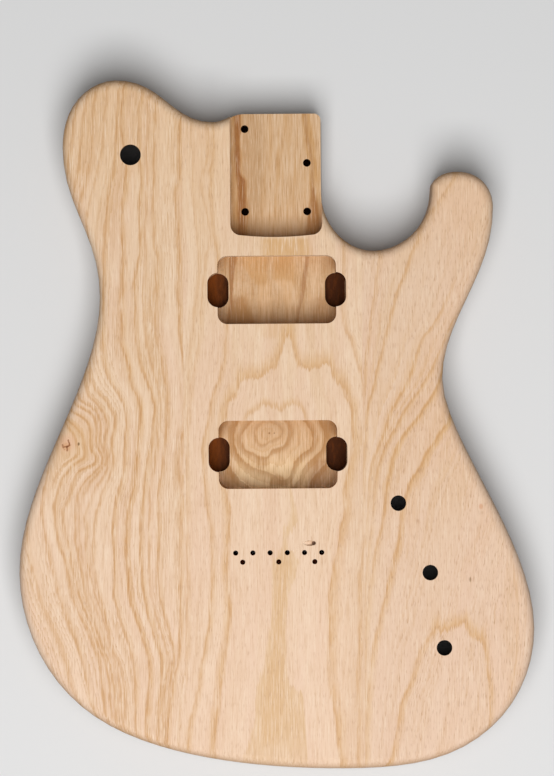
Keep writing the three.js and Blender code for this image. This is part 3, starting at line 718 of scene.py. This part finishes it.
# Centre board: what lies on its face. Edges are (row, column) places.
CENTRE_LOOK = Look(seed=2.0, lean=0.15, light=WOOD_LIGHT, rose=WOOD_ROSE, core=0.6, pore=0.28, ring=0.3,
                   band=0.6, fibre=0.46)
HEARTWOOD = (224, 188, 146)
HEART_LEFT = [
    (488, 289), (500, 290), (512, 291), (522, 289), (530, 284), (540, 283), (550, 282), (557, 277),
    (563, 272), (600, 272), (620, 271), (640, 268), (655, 266), (670, 263), (680, 259), (690, 256),
    (720, 255), (735, 252), (750, 247), (768, 240)]
HEART_RIGHT = [
    (488, 291), (500, 294), (512, 297), (522, 298), (530, 292), (540, 287), (550, 289), (557, 297),
    (563, 299), (575, 296), (590, 291), (600, 288), (640, 286), (680, 288), (687, 292), (692, 302),
    (705, 304), (735, 306), (768, 309)]
HEART_FADE_ROWS = (775, 730)
HEART_CORE_LEFT = [(560, 276), (600, 275), (640, 274), (680, 266), (720, 262), (745, 262)]
HEART_CORE_RIGHT = [(560, 292), (600, 285), (640, 283), (680, 284), (720, 282), (745, 276)]
SEAM_SHADE_COLUMNS = (338, 362)
SEAM_SHADE_ROWS = (400, 450)
SEAM_SHADE_SHARE = 0.28
GOLDEN_LEFT = [(238, 262), (258, 262), (322, 258), (338, 262)]
GOLDEN_RIGHT = [(238, 307), (258, 311), (322, 300), (338, 296)]
GOLDEN_Z = (30, 40)
GOLDEN_FADE_ROWS = (345, 290)


def centre_face(wood):
    """Heartwood below the bridge, a tone by the treble seam, and gold between pocket and neck rout."""
    column, row, shift = wood.column, wood.row, wood.shift
    streaky = wood.fibre.between(0.3, 0.6)
    shape = patch(column + shift * 3.0, row + shift * 30.0, HEART_LEFT, HEART_RIGHT, 1.1)
    fades = row.between(*HEART_FADE_ROWS) * 0.5 + 0.5
    wood.paint(HEARTWOOD, shape * (streaky * 0.5 + 0.35) * fades)
    seam = column.between(*SEAM_SHADE_COLUMNS) * row.between(*SEAM_SHADE_ROWS)
    wood.paint(WOOD_FIBRE, seam * SEAM_SHADE_SHARE)
    core = patch(column + shift * 4.0, row + shift * 40.0, HEART_CORE_LEFT, HEART_CORE_RIGHT, 2.0)
    wood.paint(WOOD_GLOW, core * (streaky * 0.3 + 0.06))
    golden = patch(column + shift * 4.0, row, GOLDEN_LEFT, GOLDEN_RIGHT, 6.0) * wood.z.between(*GOLDEN_Z)
    wood.paint(WOOD_GLOW, golden * (streaky * 0.5 + 0.5) * row.between(*GOLDEN_FADE_ROWS).most(0.35))


# Centre board: its routed floors, which cut other rings than the face does
FLOOR_LIGHT = (220, 184, 146)
FLOOR_SHADE = (196, 158, 118)
FLOOR_PALE = (240, 206, 170)
FLOOR_PAINTED_LIGHT = (250, 220, 174)
FLOOR_GOLD = (204, 157, 104)
FLOOR_BROWN = (150, 94, 46)
FLOOR_RING_AND_SHADE = (178, 129, 78)
FLOOR_FIBRE = (180, 132, 82)
FLOOR_CORNER_SHADE = (150, 108, 66)
PITH = (128, 82, 44)

# Bands on the routed floors: colour, share, softness, left and right edges.
FLOOR_PATCHES = [
    (FLOOR_SHADE, 0.85, 6.0, [(100, 228), (240, 228)], [(100, 262), (160, 264), (240, 258)]),
    (FLOOR_SHADE, 0.45, 4.0, [(245, 205), (330, 205)], [(245, 350), (330, 350)]),
    (FLOOR_GOLD, 0.8, 2.5, [(250, 243), (262, 243), (275, 250), (290, 258), (310, 258), (325, 258)],
     [(250, 268), (272, 267), (290, 269), (310, 269), (325, 268)]),
    (FLOOR_GOLD, 0.8, 2.5, [(250, 273), (275, 273), (290, 284), (325, 286)],
     [(250, 293), (270, 296), (283, 295), (292, 292), (325, 292)]),
    (FLOOR_GOLD, 0.7, 3.0, [(296, 239), (325, 236)], [(296, 246), (325, 256)]),
    (FLOOR_BROWN, 0.75, 1.0, [(250, 229), (270, 228.5), (290, 229.5), (325, 226)],
     [(250, 237), (256, 236.5), (271, 234), (288, 232.5), (303, 232), (325, 229)]),
    (FLOOR_BROWN, 0.6, 1.0, [(250, 305), (257, 305), (271, 303.5), (288, 301), (300, 299), (325, 295)],
     [(250, 309.5), (271, 307.5), (288, 305), (300, 302.5), (325, 297.5)]),
    # The brown patches on this line and the next sit in the neck rout's lower corners and are painted shade.
    (FLOOR_BROWN, 0.45, 4.0, [(296, 231), (325, 227)], [(296, 245), (325, 256)]),
    (FLOOR_BROWN, 0.3, 4.0, [(296, 313), (325, 308)], [(296, 345), (325, 345)]),
    (FLOOR_PALE, 0.35, 4.0, [(284, 258), (325, 259)], [(284, 270), (325, 271)]),
    (FLOOR_PALE, 0.3, 4.0, [(297, 260), (325, 261)], [(297, 270), (325, 271)]),
    (FLOOR_PALE, 0.35, 4.0, [(280, 273), (300, 285), (325, 286)], [(280, 292), (300, 299), (325, 294)]),
    (FLOOR_PALE, 0.3, 3.0, [(299, 287), (325, 287)], [(299, 299), (325, 294)]),
    (FLOOR_PALE, 0.35, 3.0, [(262, 313), (300, 307), (325, 301)], [(262, 321), (300, 318), (325, 310)]),
    (FLOOR_GOLD, 0.8, 1.5, [(100, 231), (240, 231)], [(100, 242), (170, 242), (180, 247), (240, 248)]),
    (FLOOR_BROWN, 1.0, 1.6, [(100, 234), (150, 234), (175, 236), (205, 238), (240, 237)],
     [(100, 240.5), (172, 240), (180, 245), (240, 246)]),
    (FLOOR_BROWN, 0.3, 1.5, [(170, 236), (200, 237), (240, 234)], [(170, 240), (180, 247), (240, 249)]),
    (FLOOR_GOLD, 0.9, 1.5, [(100, 301), (132, 303), (150, 306), (168, 310), (200, 309), (240, 307)],
     [(100, 308), (132, 313), (150, 316), (168, 318), (200, 319), (240, 322)]),
    (FLOOR_BROWN, 0.4, 1.2, [(100, 303), (132, 304.5), (150, 308.5), (168, 311), (190, 311)],
     [(100, 306.5), (132, 308.5), (150, 312), (168, 314), (190, 315)]),
    (FLOOR_BROWN, 0.8, 2.5, [(187, 311), (200, 310), (215, 308), (240, 304)],
     [(187, 315), (200, 317.5), (215, 320), (240, 325)]),
]
# The same kind of bands on the bridge rout's floor.
RINGED_PATCHES = [
    (FLOOR_RING_AND_SHADE, 0.6, 2.0, [(475, 275), (480, 271), (487, 269)], [(475, 280), (480, 285), (487, 287)]),
    (FLOOR_RING_AND_SHADE, 0.55, 3.0, [(457, 254), (463, 253), (470, 257)], [(457, 263), (463, 268), (470, 264)]),
    (FLOOR_RING_AND_SHADE, 0.55, 3.0, [(420, 317), (430, 321), (440, 325)], [(420, 334), (440, 338)]),
    # The brown patches on this line and the next two sit in the rout's corners and are painted shade.
    (FLOOR_BROWN, 0.3, 3.0, [(420, 214), (430, 218), (440, 219)], [(420, 230), (430, 226), (440, 223)]),
    (FLOOR_BROWN, 0.5, 3.0, [(415, 328), (425, 329), (436, 333)], [(415, 345), (436, 345)]),
    (FLOOR_BROWN, 0.5, 4.0, [(460, 316), (472, 312), (487, 309)], [(460, 345), (487, 345)]),
    (FLOOR_RING_AND_SHADE, 0.6, 3.0, [(462, 218), (475, 222), (487, 226)], [(462, 228), (475, 234), (487, 240)]),
]
PITH_ROW = 433.5
PITH_DOTS = [(269.3, 1.0), (274.3, 0.8)]

# Masks: two rows or heights for a start and an end, or a middle and the distances of a start and an end.
BELOW_POCKET_ROWS = (240, 250)
BRIDGE_ROUT_ROWS = (395, 400)
PAINTED_LIGHT_ACROSS = (272, 42, 30)
PAINTED_LIGHT_ROWS = (446, 482)
POCKET_FOOT_SHADE_ROWS = ((205, 240), (248, 244))
NECK_ROUT_HEAD_SHADE_ROWS = ((246, 252), (284, 256))
NECK_ROUT_FOOT_SHADE_ROWS = ((282, 330), (345, 335))
BRIDGE_ROUT_HEAD_SHADE_ROWS = ((395, 400), (444, 420))
ROUT_CORNER_SHADE_ACROSS = (277, 36, 56)
ROUTS_ACROSS = (275, 78, 76)
ROUTS_END_ROWS = (500, 495)
NECK_END_ROWS = (122, 116)
FLOORS_Z = (43.5, 40)
PAINTED_LIGHT_WALL_Z = (19, 24)


def banded(colour, wood, sway, fibres, patches):
    """The colour with bands on it, clearer along some fibres."""
    for tint, share, soft, left, right in patches:
        shape = patch(wood.column + sway, wood.row, left, right, soft)
        colour = colour.toward(tint, shape * (fibres.between(0.3, 0.6) * 0.4 + 0.6) * share)
    return colour


def ringed_floor(wood, sway, fibres):
    """The bridge rout's floor: growth rings round a small knot with two dots of pith, and painted light by
    its foot wall.
    """
    column, row, shift = wood.column, wood.row, wood.shift
    a = column - RINGS_CENTRE[0]
    b = row - RINGS_CENTRE[1]
    angle = b.math("ARCTAN2", a) * (180 / math.pi)
    uneven = (noise(column * 0.12, row * 0.12, 8.0) - 0.5) * 3.0
    radius = (a * a + b * b).root() + uneven + shift * 3.5
    rings, _, across = grain_lines(radius, angle, ROUT_RINGS, None, RINGS_ANGLES, RINGS_RADII)
    fine = ((across + shift * 2.0) * 0.16).part() ** 2.0
    # Painted light: the floor's middle by the foot wall is painted paler, lifting the wall's shadow there,
    # and the rings show less there.
    painted_light = column.near(*PAINTED_LIGHT_ACROSS) * row.between(*PAINTED_LIGHT_ROWS)
    colour = Colour.plain(wood.tree, FLOOR_LIGHT).toward(FLOOR_PAINTED_LIGHT, painted_light * 0.85)
    colour = colour.toward(FLOOR_GOLD, fine * 0.45)
    colour = colour.toward(FLOOR_RING_AND_SHADE, rings * (painted_light * -0.3 + 0.95))
    for centre_column, reach in PITH_DOTS:
        colour = colour.toward(PITH, wood.spot(centre_column, PITH_ROW, reach * 0.3, reach) * 0.8)
    return banded(colour, wood, sway, fibres, RINGED_PATCHES)


def within(row, rows):
    """1 between two rows, each with its own soft stretch."""
    start, end = rows
    return row.between(*start) * row.between(*end)


def rout_floors(wood):
    """The colour of the pocket's and the routs' floors, with painted shade by their walls."""
    column, row = wood.column, wood.row
    fibres = noise(column * 1.1, row * 0.04, 6.0, 3.0, 0.65)
    stripes = noise(column * 0.22, row * 0.014, 4.0, 3.0, 0.6)
    mottle = noise(column * 0.3, row * 0.22, 12.0, 3.0, 0.65).between(0.45, 0.72)
    sway = (noise(column * 0.15, row * 0.06, 9.0) - 0.5) * 3.0 + wood.shift * 2.5
    colour = Colour.plain(wood.tree, FLOOR_LIGHT).toward(FLOOR_GOLD, stripes.between(0.4, 0.66) * 0.6)
    colour = colour.toward(FLOOR_RING_AND_SHADE, mottle * row.between(*BELOW_POCKET_ROWS) * 0.4)
    colour = banded(colour, wood, sway, fibres, FLOOR_PATCHES)
    colour = colour.toward(ringed_floor(wood, sway, fibres), row.between(*BRIDGE_ROUT_ROWS))
    colour = colour.toward(FLOOR_FIBRE, fibres.between(0.48, 0.7) * 0.75)
    colour = colour.toward(WOOD_CREAM, fibres.between(0.5, 0.28) * 0.4)
    # Painted shade: the floors by the foot walls are painted browner, as light between the walls comes back
    # browner.
    foot = within(row, NECK_ROUT_FOOT_SHADE_ROWS).most(within(row, POCKET_FOOT_SHADE_ROWS))
    colour = colour.toward(FLOOR_RING_AND_SHADE, foot * 0.42)
    # Painted shade: the floors darken by the routs' head walls, most in the corners.
    shaded_corners = column.near(*ROUT_CORNER_SHADE_ACROSS)
    corner_shade = within(row, NECK_ROUT_HEAD_SHADE_ROWS) * (shaded_corners * 0.5 + 0.12)
    corner_shade = corner_shade.most(within(row, BRIDGE_ROUT_HEAD_SHADE_ROWS) * (shaded_corners * 0.45 + 0.3))
    return colour.toward(FLOOR_CORNER_SHADE, corner_shade)


# Centre board: ear slots, painted dark brown
EAR_SLOTS = [(217.0, 289.8), (333.3, 289.3), (218.3, 455.0), (334.8, 454.3)]
EAR_HALF_WIDTHS = (13, 12)
EAR_HALF_LENGTHS = (19.5, 18.5)
EAR_FLOOR_Z = (24.5, 22)
EAR_BROWN_END_Z = (8, 14)
EAR_BROWN_LEFT = (136, 68, 14)
EAR_BROWN_RIGHT = (70, 30, 0)
EAR_BROWN_LEFT_COLUMNS = (210, 228)


def ear_slots(wood):
    """1 in the four slots for the pickups' ears."""
    ears = None
    for column, row in EAR_SLOTS:
        slot = wood.column.near(column, *EAR_HALF_WIDTHS) * wood.row.near(row, *EAR_HALF_LENGTHS)
        ears = stronger(ears, slot)
    return ears


def paint_ear_browns(wood, ears):
    """Brown on the ear slots' walls and floors, darkest on the treble side."""
    walls = wood.normal[2].size().between(0.95, 0.5)
    ear_brown = ears * walls.most(wood.z.between(*EAR_FLOOR_Z)) * wood.z.between(*EAR_BROWN_END_Z)
    ear_blotches = noise(wood.column * 0.25, wood.row * 0.08, 3.0, 3.0, 0.6).between(0.3, 0.7) * 0.35
    darker = (wood.column.between(*EAR_BROWN_LEFT_COLUMNS) * 0.8 + ear_blotches).least(1.0)
    wood.paint(Colour.plain(wood.tree, EAR_BROWN_LEFT).toward(EAR_BROWN_RIGHT, darker), ear_brown)


# Centre board: string holes, bridge screw holes, neck screw holes and the wire hole
SMALL_BORE_WALL_AND_SHADE = (150, 68, 24)
SMALL_BORES_ROWS = ((546.5, 548.5), (570, 567))
SMALL_BORES_Z = (43.7, 42.7)
NECK_BORES_ACROSS = (276, 40, 38)
NECK_BORES_ROWS = ((116, 119), (236, 230))
NECK_BORES_Z = (28.4, 27.9)
BORES_END_Z = (0.3, 0.9)
WIRE_HOLE_SHADE_SPOT = (313.8, 543.2, 1.5, 1.2)
WIRE_HOLE_SHADE = (84, 46, 24)


def paint_centre_bores(wood):
    column, row, z = wood.column, wood.row, wood.z
    inside = z.between(*BORES_END_Z)
    neck_area = column.near(*NECK_BORES_ACROSS) * within(row, NECK_BORES_ROWS)
    neck_walls = wood.normal[2].size().between(0.6, 0.3) * z.between(*NECK_BORES_Z)
    # The bores' walls are painted dark brown: their own burnished colour and painted shade down the holes.
    wood.paint(BORE_WALL_AND_SHADE, neck_walls * neck_area * inside)
    wood.paint(SMALL_BORE_WALL_AND_SHADE, z.between(*SMALL_BORES_Z) * within(row, SMALL_BORES_ROWS) * inside)
    # Painted shade: a dark spot at the deep end of the wire hole.
    wood.paint(WIRE_HOLE_SHADE, wood.spot(*WIRE_HOLE_SHADE_SPOT) * 0.85)


def centre_ash():
    wood = ash("ash_centre", CENTRE_LINES, CENTRE_ARCHES, CENTRE_LOOK, centre_face)
    row, z, normal = wood.row, wood.z, wood.normal
    neck_end = normal[1].between(0.5, 0.9) * row.between(*NECK_END_ROWS)
    routed = wood.column.near(*ROUTS_ACROSS) * row.between(*ROUTS_END_ROWS) * neck_end.rest()
    wood.paint(rout_floors(wood), z.between(*FLOORS_Z) * normal[2].between(-0.9, -0.5) * routed)
    ears = ear_slots(wood)
    paint_ear_browns(wood, ears)
    paint_centre_bores(wood)
    # Painted light: the routs' far walls, which face the lamp, are painted cream so that they read lit.
    painted_light_wall = normal[1].between(-0.3, -0.8) * z.between(*PAINTED_LIGHT_WALL_Z) * row.between(*BELOW_POCKET_ROWS)
    wood.paint(WOOD_CREAM, painted_light_wall * routed * ears.rest() * 0.65)
    return wood.finish(routed.rest() * END_SHARE)


# Covers and screws
PLASTIC = (32, 25, 21)
PLASTIC_RUBBED = (62, 59, 57)
STEEL = (186, 187, 190)
STEEL_TURNED = (120, 121, 124)


def black_plastic():
    made, tree, shader = material("satin_black_plastic")
    (x, y, z), _ = object_place(tree)
    grain = noise(x * 2.2, y * 2.2, z * 2.2, 3.0, 0.6)
    rub = noise(x * 0.06, y * 0.4, z * 0.1, 4.0, 0.6)
    colour = Colour.plain(tree, PLASTIC).toward(PLASTIC_RUBBED, rub.between(0.55, 0.8) * 0.35)
    tree.links.new(colour.socket, shader.inputs["Base Color"])
    feed(shader.inputs["Roughness"], grain * 0.16 + 0.4)
    shader.inputs["Specular IOR Level"].default_value = 0.3
    bump(tree, shader, grain, 0.25, 0.0001)
    return made


def plated_steel():
    made, tree, shader = material("plated_steel")
    (x, y, z), _ = object_place(tree)
    turned = noise(x * 4.0, y * 4.0, z * 14.0, 3.0, 0.6)
    colour = Colour.plain(tree, STEEL).toward(STEEL_TURNED, turned.between(0.45, 0.75) * 0.6)
    tree.links.new(colour.socket, shader.inputs["Base Color"])
    shader.inputs["Metallic"].default_value = 1.0
    feed(shader.inputs["Roughness"], turned * 0.2 + 0.25)
    bump(tree, shader, turned, 0.15, 0.00005)
    return made


# Boards

EDGE_BREAK = 0.0002
EDGE_STEPS = 2
SHARP = math.radians(32)
SMOOTH_SLACK = 0.15
FLAT = math.radians(0.5)
SAME_PLACE = 1e-6
SEAM_SLACK = 1e-5


def on_seam(edge):
    seams = (BASS_SEAM_X, TREBLE_SEAM_X)
    return any(all(abs(v.co.x - seam) < SEAM_SLACK for v in edge.verts) for seam in seams)


def is_corner(edge):
    return len(edge.link_faces) == 2 and edge.calc_face_angle() > SHARP and not on_seam(edge)


def board(node_name, name, finish):
    """The board's own shape with its machined edges broken, as sanding leaves them."""
    mesh = bpy.data.meshes.new(name)
    work = bmesh.new()
    work.from_mesh(frame["nodes"][node_name].data)
    bmesh.ops.remove_doubles(work, verts=work.verts, dist=SAME_PLACE)
    bmesh.ops.dissolve_limit(work, angle_limit=FLAT, verts=work.verts, edges=work.edges)
    edges = [edge for edge in work.edges if is_corner(edge)]
    bmesh.ops.bevel(work, geom=edges, offset=EDGE_BREAK, offset_type="OFFSET", segments=EDGE_STEPS,
                    profile=0.5, affect="EDGES", clamp_overlap=True)
    for face in work.faces:
        face.smooth = True
    for edge in work.edges:
        edge.smooth = len(edge.link_faces) != 2 or edge.calc_face_angle() < SHARP + SMOOTH_SLACK
    bmesh.ops.triangulate(work, faces=[f for f in work.faces if len(f.verts) > 4])
    work.to_mesh(mesh)
    work.free()
    made = bpy.data.objects.new(name, mesh)
    bpy.context.scene.collection.objects.link(made)
    made.data.materials.append(finish)
    even = made.modifiers.new("even_normals", "WEIGHTED_NORMAL")
    even.keep_sharp = True
    even.weight = 80
    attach(made, "root")
    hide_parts(node_name)
    return made


board("bass_side_board", "bass_side_board_sanded", bass_ash())
board("centre_board", "centre_board_sanded", centre_ash())
board("treble_side_board", "treble_side_board_sanded", treble_ash())

cover_plastic = black_plastic()
screw_steel = plated_steel()
for name, node in frame["nodes"].items():
    if "screw" in name:
        node.data.materials[0] = screw_steel
    elif "cover" in name:
        node.data.materials[0] = cover_plastic


# Room. The floor's own places are millimetres from under the body's middle.

FLOOR_SIZE = 8.0
FLOOR_HEIGHT = -0.0002
FLOOR_SEEN = (226, 226, 226)
FLOOR_UNSEEN = (120, 120, 120)
BLACK = (0, 0, 0)
WHITE = (1.0, 1.0, 1.0, 1.0)
FLOOR_ENDS = (340, 1000)
UNDER_NECK_SHADE = (74, 42, 26)
UNDER_NECK_SHADE_ACROSS = (0, 29, 27)
UNDER_NECK_SHADE_ALONG = (133, 33, 31)
ROOM_LIGHT = 0.15
BACKDROP = 0.74
LAMP_PLACE = (0, -0.74, 1.95)
LAMP_AIM = (0, -0.12, 0.03)
LAMP_WIDTH = 1.2
LAMP_DEPTH = 1.55
LAMP_POWER = 40.8


def seen_directly(tree):
    """1 where the camera, a reflection or clear material looks, 0 where only light arrives."""
    path = tree.nodes.new("ShaderNodeLightPath")
    seen = Field(tree, path.outputs["Is Camera Ray"])
    for ray in ("Is Glossy Ray", "Is Transmission Ray"):
        seen = seen.most(Field(tree, path.outputs[ray]))
    return seen


def floor():
    """A pale floor that keeps the shadow near the body and runs into the backdrop further off. Under the
    pocket it has a dark brown patch of painted shade, which only the neck screw holes show."""
    bpy.ops.mesh.primitive_plane_add(size=FLOOR_SIZE, location=(0.0, MIDDLE_Y_MM * MM, FLOOR_HEIGHT))
    plane = bpy.context.object
    plane.name = "floor"
    made, tree, shader = material("pale_floor")
    (x, y, _), _ = object_place(tree)
    seen = seen_directly(tree)
    far = (x * x + y * y).root().between(*FLOOR_ENDS) * seen
    painted_shade_under_neck = x.near(*UNDER_NECK_SHADE_ACROSS) * y.near(*UNDER_NECK_SHADE_ALONG)
    colour = Colour.plain(tree, FLOOR_UNSEEN).toward(FLOOR_SEEN, seen).toward(BLACK, far)
    # Painted shade: the floor under the neck pocket is dark brown.
    colour = colour.toward(UNDER_NECK_SHADE, painted_shade_under_neck)
    tree.links.new(colour.socket, shader.inputs["Base Color"])
    shader.inputs["Emission Color"].default_value = WHITE
    feed(shader.inputs["Emission Strength"], far * BACKDROP)
    shader.inputs["Roughness"].default_value = 0.9
    shader.inputs["Specular IOR Level"].default_value = 0.0
    plane.data.materials.append(made)


def lamp():
    """One large soft lamp above the body, a little toward its tail end."""
    light = bpy.data.lights.new("key_light", "AREA")
    light.shape = "RECTANGLE"
    light.size = LAMP_WIDTH
    light.size_y = LAMP_DEPTH
    light.energy = LAMP_POWER
    made = bpy.data.objects.new("key_light", light)
    bpy.context.scene.collection.objects.link(made)
    made.location = LAMP_PLACE
    made.rotation_euler = (Vector(LAMP_AIM) - Vector(LAMP_PLACE)).to_track_quat("-Z", "Y").to_euler()


def world():
    made = bpy.data.worlds.new("room")
    bpy.context.scene.world = made
    made.use_nodes = True
    background = made.node_tree.nodes["Background"]
    background.inputs["Color"].default_value = WHITE
    feed(background.inputs["Strength"], seen_directly(made.node_tree) * (BACKDROP - ROOM_LIGHT) + ROOM_LIGHT)


floor()
lamp()
world()


# Camera
CAMERA_HEIGHT = 2.4
CAMERA_X = -0.0003
SENSOR_MM = 36.0


def camera():
    """Straight above the face. The photograph is taller than wide, so its rows span the sensor."""
    view = bpy.data.cameras.new("camera")
    view.sensor_width = SENSOR_MM
    view.lens = SENSOR_MM * CAMERA_HEIGHT / (PHOTO_ROWS * STEP_MM * MM)
    viewer = bpy.data.objects.new("camera", view)
    bpy.context.scene.collection.objects.link(viewer)
    viewer.location = (CAMERA_X, MIDDLE_Y_MM * MM, FACE_Z_MM * MM + CAMERA_HEIGHT)
    viewer.rotation_euler = (0.0, 0.0, -PHOTO_TURN)
    bpy.context.scene.camera = viewer


camera()
bpy.context.scene.view_settings.view_transform = "Standard"
